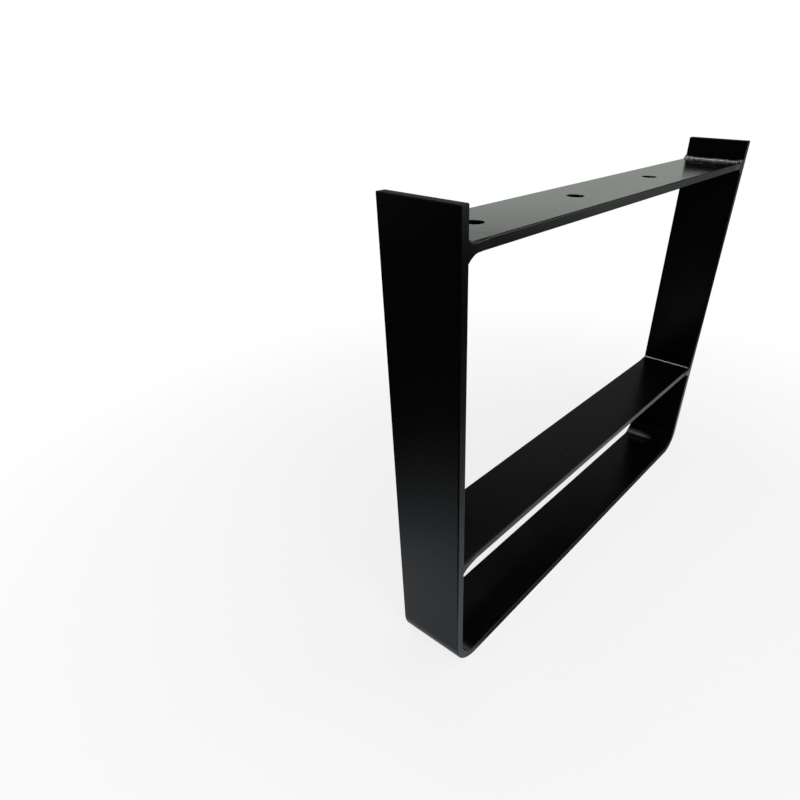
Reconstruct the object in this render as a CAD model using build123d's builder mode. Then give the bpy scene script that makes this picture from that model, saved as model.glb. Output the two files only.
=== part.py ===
"""Bench frame of bent and welded flat steel bar, in millimetres, +Z up.

The origin is on the floor, midway between the two legs and midway across the bar.
X runs across the frame from leg to leg and Y across the width of the bar.
"""

import os

from build123d import *

os.makedirs("parts", exist_ok=True)

# Overall sizes
FRAME_HEIGHT = 400.0
FRAME_SPAN = 510.0

# Flat bar of the bent frame
BAR_WIDTH = 66.0
BAR_THICKNESS = 8.0
BEND_INNER_RADIUS = 19.0
EDGE_RADIUS = 1.0
LEG_TOP_RADIUS = 0.6

# The two cross bars
CROSS_BAR_SETBACK = 1.0
CROSS_BAR_THICKNESS = 7.2
EAR_HEIGHT = 21.0
LOWER_BAR_TOP = 129.0

# Screw holes in the top bar
HOLE_DIAMETER = 14.0
HOLE_END_DISTANCE = 46.0
HOLE_INNER_SPACING = 140.0
HOLE_RIM_CHAMFER = 0.25

# Welds, measured along the cross bar and along the leg
TOP_WELD_RUN = 5.5
TOP_WELD_RISE = 3.0
LOWER_WELD_RUN = 2.5
LOWER_WELD_RISE = 2.5
TOP_UNDER_WELD_RUN = 7.5
LOWER_UNDER_WELD_RUN = 10.5
UNDER_WELD_RISE = 4.5
WELD_HOLLOW_RATIO = 0.2
SKIM_EDGE_RADIUS = 0.5

# Sizes that follow from those above
BEND_OUTER_RADIUS = BEND_INNER_RADIUS + BAR_THICKNESS
INNER_SPAN = FRAME_SPAN - 2 * BAR_THICKNESS
LEG_FACE_X = INNER_SPAN / 2
CROSS_BAR_WIDTH = BAR_WIDTH - 2 * CROSS_BAR_SETBACK
TOP_BAR_TOP = FRAME_HEIGHT - EAR_HEIGHT
HOLE_OUTER_X = LEG_FACE_X - HOLE_END_DISTANCE
HOLE_INNER_X = HOLE_INNER_SPACING / 2

# One flat bar bent into a square U: two legs and the runner on the floor
with BuildPart() as u_frame:
    with BuildSketch(Plane.XZ):
        with BuildLine():
            Polyline(
                (-FRAME_SPAN / 2, FRAME_HEIGHT),
                (-FRAME_SPAN / 2, 0),
                (FRAME_SPAN / 2, 0),
                (FRAME_SPAN / 2, FRAME_HEIGHT),
                close=True,
            )
        make_face()
        fillet(vertices().group_by(Axis.Y)[0], BEND_OUTER_RADIUS)
        with BuildSketch(Plane.XY, mode=Mode.PRIVATE) as window:
            with Locations((0, (FRAME_HEIGHT + BAR_THICKNESS) / 2)):
                Rectangle(INNER_SPAN, FRAME_HEIGHT - BAR_THICKNESS)
            fillet(window.vertices().group_by(Axis.Y)[0], BEND_INNER_RADIUS)
        add(window.sketch, mode=Mode.SUBTRACT)
    extrude(amount=BAR_WIDTH / 2, both=True)
    side_loops = u_frame.edges().group_by(Axis.Y)
    fillet(side_loops[0] + side_loops[-1], EDGE_RADIUS)
    fillet(u_frame.edges().filter_by(Axis.Y).group_by(Axis.Z)[-1], LEG_TOP_RADIUS)
u_frame.part.label = "u_frame"
export_step(u_frame.part, "parts/u_frame.step")

# Top bar: carries the seat plank and has four screw holes in a line
with BuildPart() as top_bar:
    with BuildSketch(Plane.XY.offset(TOP_BAR_TOP - CROSS_BAR_THICKNESS)):
        Rectangle(INNER_SPAN, CROSS_BAR_WIDTH)
    extrude(amount=CROSS_BAR_THICKNESS)
    fillet(top_bar.edges().filter_by(Axis.X), EDGE_RADIUS)
    with BuildSketch(Plane.XY.offset(TOP_BAR_TOP)):
        with Locations(
            (-HOLE_OUTER_X, 0),
            (-HOLE_INNER_X, 0),
            (HOLE_INNER_X, 0),
            (HOLE_OUTER_X, 0),
        ):
            Circle(HOLE_DIAMETER / 2)
    extrude(amount=-CROSS_BAR_THICKNESS, mode=Mode.SUBTRACT)
    chamfer(top_bar.edges().filter_by(GeomType.CIRCLE).filter_by(lambda e: e.is_closed), HOLE_RIM_CHAMFER)
top_bar.part.label = "top_bar"
export_step(top_bar.part, "parts/top_bar.step")

# Lower bar: plain stretcher between the legs
with BuildPart() as lower_bar:
    with BuildSketch(Plane.XY.offset(LOWER_BAR_TOP - CROSS_BAR_THICKNESS)):
        Rectangle(INNER_SPAN, CROSS_BAR_WIDTH)
    extrude(amount=CROSS_BAR_THICKNESS)
    fillet(lower_bar.edges().filter_by(Axis.X), EDGE_RADIUS)
lower_bar.part.label = "lower_bar"
export_step(lower_bar.part, "parts/lower_bar.step")


def weld_profile(side, face_z, rise, run_on_bar, rise_on_leg):
    """Corner, bar toe, hollow and leg toe of a fillet at one leg (side -1 or 1) and bar face (rise -1 or 1)."""
    corner = Vector(side * LEG_FACE_X, face_z)
    toe_on_bar = corner - Vector(side * run_on_bar, 0)
    toe_on_leg = corner + Vector(0, rise * rise_on_leg)
    middle = (toe_on_bar + toe_on_leg) / 2
    hollow = middle + (corner - middle) * WELD_HOLLOW_RATIO
    return corner, toe_on_bar, hollow, toe_on_leg


def export_weld(name, solid):
    solid.label = name
    export_step(solid, f"parts/{name}.step")


# The weld runs right round each end of both cross bars
for bar_name, top_z, over_run, over_rise, under_run in (
    ("top", TOP_BAR_TOP, TOP_WELD_RUN, TOP_WELD_RISE, TOP_UNDER_WELD_RUN),
    ("lower", LOWER_BAR_TOP, LOWER_WELD_RUN, LOWER_WELD_RISE, LOWER_UNDER_WELD_RUN),
):
    for leg_name, side in (("left", -1), ("right", 1)):
        weld_name = f"weld_{bar_name}_{leg_name}"
        over = weld_profile(side, top_z, 1, over_run, over_rise)
        under = weld_profile(side, top_z - CROSS_BAR_THICKNESS, -1, under_run, UNDER_WELD_RISE)

        # Fillet beads over and under the bar
        for face_name, (corner, toe_on_bar, hollow, toe_on_leg) in (("over", over), ("under", under)):
            with BuildPart() as bead:
                with BuildSketch(Plane.XZ):
                    with BuildLine():
                        Line(corner, toe_on_bar)
                        ThreePointArc(toe_on_bar, hollow, toe_on_leg)
                        Line(toe_on_leg, corner)
                    make_face()
                extrude(amount=CROSS_BAR_WIDTH / 2, both=True)
            export_weld(f"{weld_name}_{face_name}", bead.part)

        # Thin skims that bring the bar's two narrow edges level with the edges of the leg
        for edge_name, outward in (("front", -1), ("back", 1)):
            with BuildPart() as skim:
                with BuildSketch(Plane.XZ.offset(-outward * CROSS_BAR_WIDTH / 2)):
                    with BuildLine():
                        ThreePointArc(over[3], over[2], over[1])
                        Line(over[1], under[1])
                        ThreePointArc(under[1], under[2], under[3])
                        Line(under[3], over[3])
                    make_face()
                extrude(amount=-outward * CROSS_BAR_SETBACK)
                outer_face = skim.faces().sort_by(Axis.Y)[-1 if outward > 0 else 0]
                leg_edge = outer_face.edges().sort_by(Axis.X)[-1 if side > 0 else 0]
                fillet(outer_face.edges() - [leg_edge], SKIM_EDGE_RADIUS)
            export_weld(f"{weld_name}_{edge_name}", skim.part)
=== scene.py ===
"""Looks of the black bench frame: powder coat, weld beads, pale floor, soft light and camera."""

import math

import bpy
from mathutils import Matrix, Vector


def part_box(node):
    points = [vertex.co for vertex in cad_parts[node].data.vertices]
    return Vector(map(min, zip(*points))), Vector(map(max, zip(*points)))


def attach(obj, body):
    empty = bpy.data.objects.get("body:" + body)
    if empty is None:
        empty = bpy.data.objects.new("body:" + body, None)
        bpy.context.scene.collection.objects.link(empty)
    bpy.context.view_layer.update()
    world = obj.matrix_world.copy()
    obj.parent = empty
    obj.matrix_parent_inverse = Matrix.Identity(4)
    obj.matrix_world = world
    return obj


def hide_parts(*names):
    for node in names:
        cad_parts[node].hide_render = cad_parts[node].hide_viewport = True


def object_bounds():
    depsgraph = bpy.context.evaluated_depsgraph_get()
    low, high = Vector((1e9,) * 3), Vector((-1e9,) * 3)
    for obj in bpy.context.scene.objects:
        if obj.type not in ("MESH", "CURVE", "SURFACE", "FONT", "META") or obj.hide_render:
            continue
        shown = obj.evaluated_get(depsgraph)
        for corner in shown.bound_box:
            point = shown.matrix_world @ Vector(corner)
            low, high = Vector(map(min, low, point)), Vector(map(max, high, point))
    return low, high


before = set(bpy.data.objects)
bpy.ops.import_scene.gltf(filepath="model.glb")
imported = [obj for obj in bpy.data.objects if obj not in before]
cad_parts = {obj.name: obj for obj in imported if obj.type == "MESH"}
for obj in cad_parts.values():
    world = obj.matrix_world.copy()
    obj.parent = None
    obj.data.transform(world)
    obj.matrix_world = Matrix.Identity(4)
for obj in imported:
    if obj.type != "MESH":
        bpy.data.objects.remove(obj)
cad_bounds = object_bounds()

MM = 0.001

# Camera, in millimetres, degrees and pixels of an 800 by 800 picture
PICTURE = 800
FOCAL = 570.68
CENTRE_X = 464.09
CENTRE_Y = 472.82
CAMERA_AT = (-513.318, -241.965, 458.039)
YAW = 38.332
PITCH = 35.045
ROLL = 0.827
SENSOR = 36.0
CLIP_START = 0.01

# Paint, with the scale, detail and roughness of its noises, and depths in metres
PAINT = (0.0008, 0.0008, 0.0009, 1.0)
PAINT_IOR = 1.5
PEEL_NOISE = (650.0, 2.0, 0.5)
PEEL_DEPTH = 0.00003
WAVE_NOISE = (55.0, 2.0, 0.5)
WAVE_DEPTH = 0.00006
CLOUD_NOISE = (14.0, 4.0, 0.6)
CLOUD_RANGE = (0.3, 0.7)
CLOUD_ROUGHNESS = (0.23, 0.29)
GRAZING_RANGE = (0.55, 0.9)
GRAZING_ROUGHNESS = 0.18
CUT_END_ROUGHNESS = 0.6
CUT_END_START = 0.0012
CUT_END_FULL = 0.0003

# Mesh of a weld collar: steps across the bar, down its edge, round a corner and along the bar
WELD_STEPS = 180
WELD_SIDE_STEPS = 10
WELD_CORNER_STEPS = 5
WELD_RINGS = 26
SKIM_RINGS = 8

# Skim at the edges of a bar, and how the collar sits in bar and leg, in millimetres
SKIM_RUN = 22.0
SKIM_LEVEL_SHARE = 0.25
WELD_CORNER_RADIUS = 1.0
WELD_SINK = 0.15
WELD_IN_LEG = 0.95
WELD_FLUSH_GAP = 0.01

# Beads: share of the solid's size, hollow (below 0 for a bulge), swell of the two ends, and
# height of the ripples in millimetres
OVER_BEADS = {
    "top_left": (0.8, 0.1, 0.0, 0.14),
    "top_right": (0.8, -0.3, 0.4, 0.14),
    "lower_left": (0.45, 0.0, 0.0, 0.03),
    "lower_right": (0.45, 0.0, 0.0, 0.03),
}
UNDER_BEAD = (1.0, 0.22, 0.0, 0.14)
END_LUMP_WIDTH = 4.5

# Ripples: pitch in millimetres, and drift and bow in ripples
RIPPLE_PITCH = 2.3
RIPPLE_DRIFT = 0.3
RIPPLE_BOW = 0.5

# Lumps of a bead: their share of its size, and each wave's part, pace and shift by seed
LUMP_SHARE = 0.14
LUMP_WAVES = ((0.5, 0.21, 1.7), (0.3, 0.47, 2.9), (0.2, 0.93, 0.6))
UNDER_SEED = 0.5
RISE_SEED = 3.3
RIPPLE_SEED = 5.1

# Floor that the camera sees, in metres: share of plain white by distance from the origin
FLOOR_RADIUS = 1.7
FLOOR_SIDES = 128
WHITE_SHARE = ((0.3, 0.78), (0.8, 1.0))
PAPER = 0.9

# Floor for all other rays: a painted pool of light along a line, by distance from that line
POOL_CENTRE = (0.1, 0.0, 0.0)
POOL_HALF_LINE = (0.355, 0.0, 0.0)
PAINTED_POOL = (
    (0.04, 0.84), (0.10, 0.89), (0.14, 0.82), (0.20, 0.49), (0.28, 0.26), (0.35, 0.115),
    (0.43, 0.05),
)
FLOOR_TINT = (0.95, 1.0, 1.06)
# Painted shade: the floor's colour where the pool is shaded
PAINTED_SHADE_LEVEL = 0.01

# Where painted shade darkens the pool, each from no shade to full shade, along X, Y or the
# lane, which points to the front left
LANE = (-0.6, -0.8, 0.0)
BEHIND_Y = (-0.07, 0.05)
BEYOND_LANE = (0.12, -0.05)
NEARER_LANE = (0.19, 0.27)
FOOT_Y = (-0.047, -0.035)
FOOT_X = (-0.24, -0.2)
FOOT_SHADE = 0.85
LEFT_X = (-0.24, -0.27)
LEFT_SHADE = 0.26

# Brightness of the walls ahead of the camera and behind it, by height of the direction
AHEAD_BY_HEIGHT = (
    (-0.3, 0.1), (-0.2, 0.25), (-0.14, 1.0), (-0.05, 1.0), (0.04, 0.42), (0.13, 0.46), (0.2, 1.2),
    (0.235, 0.3), (0.28, 0.06), (0.42, 0.03), (0.47, 0.21), (0.54, 0.21), (0.62, 0.02), (0.7, 0.01),
)
BEHIND_BY_HEIGHT = ((0.02, 0.0), (0.06, 0.5), (0.2, 0.6), (0.3, 0.1), (0.6, 0.03))

# The same by the share of the direction that runs along the camera's heading
HEADING = (0.766, 0.643, 0.0)
AHEAD_BY_HEADING = (
    (-0.1, 0.02), (0.1, 0.08), (0.2, 0.5), (0.27, 0.95), (0.39, 0.63), (0.46, 0.32),
    (0.56, 0.08), (0.7, 0.3), (0.9, 1.0),
)
BEHIND_BY_HEADING = ((-0.95, 1.0), (-0.8, 0.3), (-0.65, 0.0))
WALL_TINT = (0.965, 1.03, 0.955)

# Lamps: place, aim, width and depth in metres, and watts
LAMPS = {
    "overhead": ((0.1, -0.1, 1.8), (0.1, -0.1, 0), 1.8, 1.4, 8.0),
    "strip": ((-0.1, 0.44, 1.75), (-0.1, 0.3, 0), 0.9, 0.28, 10.0),
    "bend": ((0.22, 0.5, 1.75), (0.22, 0.3, 0), 0.3, 0.28, 1.0),
    "right": ((1.5, -1.4, 1.2), (0, 0, 0.2), 1.2, 1.0, 5.5),
    "fill": ((-1.5, -1.7, 1.5), (0, 0, 0.2), 2.4, 2.0, 56.0),
}


def link(thing):
    bpy.context.scene.collection.objects.link(thing)
    return thing


def grey(level):
    return (level, level, level, 1.0)


def nodes_of(tree):
    """Empties a node tree and returns a function that adds a node with its settings."""
    tree.nodes.clear()

    def add(kind, inputs=None, **settings):
        node = tree.nodes.new(kind)
        for name, value in settings.items():
            setattr(node, name, value)
        for socket, value in (inputs or {}).items():
            if isinstance(value, bpy.types.NodeSocket):
                tree.links.new(value, node.inputs[socket])
            else:
                node.inputs[socket].default_value = value
        return node

    return add


def new_material(name):
    """New material, with the function that adds nodes to it."""
    material = bpy.data.materials.new(name)
    material.use_nodes = True
    return material, nodes_of(material.node_tree)


def remap(add, value, span, low=0.0, high=1.0, **settings):
    """Value carried over from a span of (start, end) to the span from low to high."""
    start, end = span
    inputs = {"Value": value, "From Min": start, "From Max": end, "To Min": low, "To Max": high}
    return add("ShaderNodeMapRange", inputs, **settings).outputs["Result"]


def smooth_step(add, value, span, level=1.0):
    """Soft rise from 0 at the start of a span to `level` at its end."""
    return remap(add, value, span, 0.0, level, interpolation_type="SMOOTHSTEP")


def level_ramp(add, value, stops, tint=(1.0, 1.0, 1.0)):
    """Tinted level that follows a value through (value, level) pairs in rising order."""
    start, end = stops[0][0], stops[-1][0]
    node = add("ShaderNodeValToRGB", {"Fac": remap(add, value, (start, end))})
    elements = node.color_ramp.elements
    for at, _ in stops[1:-1]:
        elements.new((at - start) / (end - start))
    for element, (_, level) in zip(elements, stops):
        element.color = (*[level * share for share in tint], 1.0)
    return node.outputs["Color"]


def noise(add, place, scale, detail, roughness):
    inputs = {"Vector": place, "Scale": scale, "Detail": detail, "Roughness": roughness}
    return add("ShaderNodeTexNoise", inputs).outputs["Fac"]


def maths(add, operation, first, second):
    return add("ShaderNodeMath", {0: first, 1: second}, operation=operation).outputs[0]


def vector_maths(add, operation, *vectors, result="Vector"):
    node = add("ShaderNodeVectorMath", dict(enumerate(vectors)), operation=operation)
    return node.outputs[result]


def mix(add, share, first, second):
    return add("ShaderNodeMixShader", {0: share, 1: first, 2: second}).outputs[0]


def powder_coat():
    """Satin black coat: orange peel, faint clouding, glossier at a grazing look, dull leg tops."""
    material, add = new_material("powder_coat_black")
    place = add("ShaderNodeTexCoord").outputs["Object"]
    waves = {"Height": noise(add, place, *WAVE_NOISE), "Strength": 1.0, "Distance": WAVE_DEPTH}
    peel = {"Height": noise(add, place, *PEEL_NOISE), "Strength": 1.0, "Distance": PEEL_DEPTH}
    peel["Normal"] = add("ShaderNodeBump", waves).outputs["Normal"]
    normal = add("ShaderNodeBump", peel).outputs["Normal"]
    rough = remap(add, noise(add, place, *CLOUD_NOISE), CLOUD_RANGE, *CLOUD_ROUGHNESS)
    facing = add("ShaderNodeLayerWeight", {"Blend": 0.5}).outputs["Facing"]
    rough = remap(add, facing, GRAZING_RANGE, rough, GRAZING_ROUGHNESS)
    height = add("ShaderNodeSeparateXYZ", {0: place}).outputs["Z"]
    leg_top = cad_bounds[1].z
    cut_end = (leg_top - CUT_END_START, leg_top - CUT_END_FULL)
    rough = remap(add, height, cut_end, rough, CUT_END_ROUGHNESS)
    shader = add(
        "ShaderNodeBsdfPrincipled",
        {"Base Color": PAINT, "Roughness": rough, "IOR": PAINT_IOR, "Normal": normal},
    )
    add("ShaderNodeOutputMaterial", {"Surface": shader.outputs["BSDF"]})
    return material


def lumps(t, seed):
    """Slow uneven wave, about -1 to 1, the same at each run."""
    return sum(part * math.sin(pace * t + shift * seed) for part, pace, shift in LUMP_WAVES)


def ramp_down(u, start):
    """Smooth fall from 1 at `start` and before it to 0 at 1."""
    v = min(1.0, max(0.0, (u - start) / (1 - start)))
    return 0.5 + 0.5 * math.cos(math.pi * v)


class Bead:
    """Fillet bead on one flat face of a bar, from the box of its solid and a row of bead values."""

    def __init__(self, box, values, half, seed):
        low, high = box
        share, self.hollow, self.end_lump, self.ripple = values
        self.run = share * ((high.x - low.x) / MM)
        self.rise = share * ((high.z - low.z) / MM)
        self.half = half
        self.seed = seed

    def reach(self):
        """Longest run of the bead along the bar."""
        return (1 + LUMP_SHARE) * ((1 + self.end_lump) * self.run)

    def height(self, y, distance):
        """Height above the bar at a place across it and a distance from the leg."""
        swell = 1 + self.end_lump * math.exp(-(((self.half - abs(y)) / END_LUMP_WIDTH) ** 2))
        run = self.run * swell * (1 + LUMP_SHARE * lumps(y, self.seed))
        rise = self.rise * swell * (1 + LUMP_SHARE * lumps(y, self.seed + RISE_SEED))
        u = max(0.0, distance / run)
        belly = max(0.0, 4 * u * (1 - u))
        drift = RIPPLE_DRIFT * lumps(y, self.seed + RIPPLE_SEED)
        phase = y / RIPPLE_PITCH + drift - RIPPLE_BOW * belly
        ripple = self.ripple * belly * math.sin(2 * math.pi * phase)
        return max(-WELD_SINK, rise * (1 - u - self.hollow * belly) + ripple)


def weld_section(distance, bar_half, leg_half, top_z, bottom_z, over, under):
    """Closed outline round the bar at one distance from the leg, as (y, z) in millimetres."""
    if distance < SKIM_RUN:
        skim = ramp_down(distance / SKIM_RUN, SKIM_LEVEL_SHARE)
        half = bar_half + (leg_half - WELD_FLUSH_GAP - bar_half) * skim
    else:
        half = bar_half - WELD_SINK
    radius = WELD_CORNER_RADIUS
    flat = half - radius
    across = [flat * (2 * i / WELD_STEPS - 1) for i in range(WELD_STEPS + 1)]
    turns = [math.pi / 2 * i / WELD_CORNER_STEPS for i in range(1, WELD_CORNER_STEPS)]

    def high(y):
        return top_z + over.height(y, distance)

    def low(y):
        return bottom_z - under.height(y, distance)

    def edge(sign):
        """From the top of one edge of the bar down to its underside."""
        y = sign * flat
        top, bottom = high(y) - radius, low(y) + radius
        points = [(y + sign * radius * math.sin(a), top + radius * math.cos(a)) for a in turns]
        for i in range(WELD_SIDE_STEPS + 1):
            points.append((sign * half, top + (bottom - top) * i / WELD_SIDE_STEPS))
        points += [(y + sign * radius * math.cos(a), bottom - radius * math.sin(a)) for a in turns]
        return points

    outline = [(y, high(y)) for y in across]
    outline += edge(1)
    outline += [(y, low(y)) for y in reversed(across)]
    outline += reversed(edge(-1))
    return outline


def tube_mesh(name, rings, side):
    """Closed tube through rings of points, smooth but for its two flat ends."""
    count = len(rings[0])
    last = (len(rings) - 1) * count
    faces = [tuple(range(count))]
    for i in range(len(rings) - 1):
        for j in range(count):
            a = i * count + j
            b = i * count + (j + 1) % count
            faces.append((a, a + count, b + count, b))
    faces.append(tuple(reversed(range(last, last + count))))
    if side > 0:
        faces = [tuple(reversed(face)) for face in faces]
    mesh = bpy.data.meshes.new(name)
    mesh.from_pydata([point for ring in rings for point in ring], [], faces)
    mesh.update()
    for polygon in mesh.polygons:
        polygon.use_smooth = len(polygon.vertices) == 4
    return mesh


def weld_collar(bar, leg, side, seed):
    """One weld right round a bar's end: beads over and under it, its edges level with the leg."""
    name = f"weld_{bar}_{leg}"
    bar_low, bar_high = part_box(f"{bar}_bar")
    bar_half = bar_high.y / MM
    leg_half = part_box("u_frame")[1].y / MM
    over = Bead(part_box(f"{name}_over"), OVER_BEADS[f"{bar}_{leg}"], bar_half, seed)
    under = Bead(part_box(f"{name}_under"), UNDER_BEAD, bar_half, seed + UNDER_SEED)
    bead_end = max(over.reach(), under.reach())
    bare_skim = SKIM_RUN - bead_end
    distances = [-WELD_IN_LEG, -WELD_IN_LEG / 2]
    distances += [bead_end * i / WELD_RINGS for i in range(WELD_RINGS + 1)]
    distances += [bead_end + bare_skim * i / SKIM_RINGS for i in range(1, SKIM_RINGS + 1)]
    top_z, bottom_z = bar_high.z / MM, bar_low.z / MM
    rings = []
    for distance in distances:
        section = weld_section(distance, bar_half, leg_half, top_z, bottom_z, over, under)
        x = side * (bar_high.x / MM - distance)
        rings.append([Vector((x, y, z)) * MM for y, z in section])
    collar = link(bpy.data.objects.new(name, tube_mesh(name, rings, side)))
    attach(collar, "root")
    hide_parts(*[f"{name}_{face}" for face in ("over", "under", "front", "back")])
    return collar


def build_frame(coat):
    """Paints the bars, lays the four welds and returns the welds."""
    bars = [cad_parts[name] for name in ("u_frame", "top_bar", "lower_bar")]
    welds = []
    for bar in ("top", "lower"):
        for leg, side in (("left", -1), ("right", 1)):
            seed = len(welds) + 1.0
            welds.append(weld_collar(bar, leg, side, seed))
    for piece in bars + welds:
        piece.data.materials.clear()
        piece.data.materials.append(coat)
    return welds


def seen_floor(add, place):
    """Floor for the camera: white paper, mixed with plain white more and more outward."""
    reach = vector_maths(add, "LENGTH", place, result="Value")
    paper = add("ShaderNodeBsdfDiffuse", {"Color": grey(PAPER)}).outputs[0]
    white = add("ShaderNodeEmission", {"Color": grey(1.0), "Strength": 1.0}).outputs[0]
    return mix(add, level_ramp(add, reach, WHITE_SHARE), paper, white)


def painted_pool_shade(add, place):
    """Painted shade on the pool of light: behind the frame, near the camera, at the foot and left.
    """
    lane = vector_maths(add, "DOT_PRODUCT", place, LANE, result="Value")
    axes = add("ShaderNodeSeparateXYZ", {0: place}).outputs
    behind = smooth_step(add, axes["Y"], BEHIND_Y)
    beyond = smooth_step(add, lane, BEYOND_LANE)
    nearer = smooth_step(add, lane, NEARER_LANE)
    at_foot = smooth_step(add, axes["Y"], FOOT_Y, FOOT_SHADE)
    past_bend = smooth_step(add, axes["X"], FOOT_X)
    left = smooth_step(add, axes["X"], LEFT_X, LEFT_SHADE)
    shade = maths(add, "MAXIMUM", maths(add, "MULTIPLY", behind, beyond), nearer)
    shade = maths(add, "MAXIMUM", shade, maths(add, "MULTIPLY", at_foot, past_bend))
    return maths(add, "MAXIMUM", shade, left)


def reflected_floor(add, place):
    """Floor for all other rays: a painted pool of light along the runner, painted shade in parts.
    """
    offset = vector_maths(add, "ABSOLUTE", vector_maths(add, "SUBTRACT", place, POOL_CENTRE))
    past_end = vector_maths(add, "SUBTRACT", offset, POOL_HALF_LINE)
    past_end = vector_maths(add, "MAXIMUM", past_end, (0.0, 0.0, 0.0))
    away = vector_maths(add, "LENGTH", past_end, result="Value")
    lit = add("ShaderNodeBsdfDiffuse", {"Color": level_ramp(add, away, PAINTED_POOL, FLOOR_TINT)})
    unlit = add("ShaderNodeBsdfDiffuse", {"Color": grey(PAINTED_SHADE_LEVEL)})
    return mix(add, painted_pool_shade(add, place), lit.outputs[0], unlit.outputs[0])


def build_floor():
    """Round pale floor: white to the camera but for the shadow, a painted pool of light to other
    rays.
    """
    bpy.ops.mesh.primitive_circle_add(
        vertices=FLOOR_SIDES, radius=FLOOR_RADIUS, fill_type="NGON", location=(0, 0, 0)
    )
    floor = bpy.context.object
    floor.name = "floor"
    material, add = new_material("floor_pale")
    place = add("ShaderNodeTexCoord").outputs["Object"]
    to_camera = add("ShaderNodeLightPath").outputs["Is Camera Ray"]
    surface = mix(add, to_camera, reflected_floor(add, place), seen_floor(add, place))
    add("ShaderNodeOutputMaterial", {"Surface": surface})
    floor.data.materials.append(material)


def build_world():
    """White behind the object for the camera, soft bright walls ahead and behind for other rays."""
    world = bpy.data.worlds.new("studio")
    bpy.context.scene.world = world
    world.use_nodes = True
    add = nodes_of(world.node_tree)
    direction = add("ShaderNodeTexCoord").outputs["Generated"]
    height = add("ShaderNodeSeparateXYZ", {0: direction}).outputs["Z"]
    along = vector_maths(add, "DOT_PRODUCT", direction, HEADING, result="Value")
    walls = []
    for by_height, by_heading in (
        (AHEAD_BY_HEIGHT, AHEAD_BY_HEADING),
        (BEHIND_BY_HEIGHT, BEHIND_BY_HEADING),
    ):
        color = level_ramp(add, height, by_height, WALL_TINT)
        strength = level_ramp(add, along, by_heading)
        walls.append(add("ShaderNodeBackground", {"Color": color, "Strength": strength}).outputs[0])
    around = add("ShaderNodeAddShader", {0: walls[0], 1: walls[1]}).outputs[0]
    white = add("ShaderNodeBackground", {"Color": grey(1.0), "Strength": 1.0}).outputs[0]
    to_camera = add("ShaderNodeLightPath").outputs["Is Camera Ray"]
    add("ShaderNodeOutputWorld", {"Surface": mix(add, to_camera, around, white)})


def area_light(name, place, aim, width, depth, watts):
    data = bpy.data.lights.new(name, "AREA")
    data.shape = "RECTANGLE"
    data.size = width
    data.size_y = depth
    data.energy = watts
    lamp = link(bpy.data.objects.new(name, data))
    lamp.location = place
    lamp.rotation_euler = (Vector(aim) - Vector(place)).to_track_quat("-Z", "Y").to_euler()
    return lamp


def build_lamps(strip_lit):
    """Soft lamps: the fill is kept out of reflections, the strip lights the given pieces alone."""
    lamps = {name: area_light(name, *values) for name, values in LAMPS.items()}
    lamps["fill"].visible_glossy = False
    receivers = bpy.data.collections.new("strip_lit")
    for piece in strip_lit:
        receivers.objects.link(piece)
    lamps["strip"].light_linking.receiver_collection = receivers


def build_camera():
    """Camera fitted to the photograph, with its optical centre off the middle of the picture."""
    yaw, pitch, roll = math.radians(YAW), math.radians(PITCH), math.radians(ROLL)
    ahead = Vector((
        math.cos(yaw) * math.cos(pitch),
        math.sin(yaw) * math.cos(pitch),
        -math.sin(pitch),
    ))
    level_right = Vector((math.sin(yaw), -math.cos(yaw), 0))
    level_up = level_right.cross(ahead)
    right = math.cos(roll) * level_right + math.sin(roll) * level_up
    up = -math.sin(roll) * level_right + math.cos(roll) * level_up
    data = bpy.data.cameras.new("camera")
    data.sensor_width = SENSOR
    data.lens = FOCAL * SENSOR / PICTURE
    data.shift_x = (PICTURE / 2 - CENTRE_X) / PICTURE
    data.shift_y = (CENTRE_Y - PICTURE / 2) / PICTURE
    data.clip_start = CLIP_START
    camera = link(bpy.data.objects.new("camera", data))
    turn = Matrix((right, up, -ahead)).transposed()
    camera.matrix_world = Matrix.Translation(Vector(CAMERA_AT) * MM) @ turn.to_4x4()
    bpy.context.scene.camera = camera


bpy.context.scene.view_settings.view_transform = "Standard"

welds = build_frame(powder_coat())
build_floor()
build_world()
build_lamps([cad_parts["top_bar"], *welds])
build_camera()
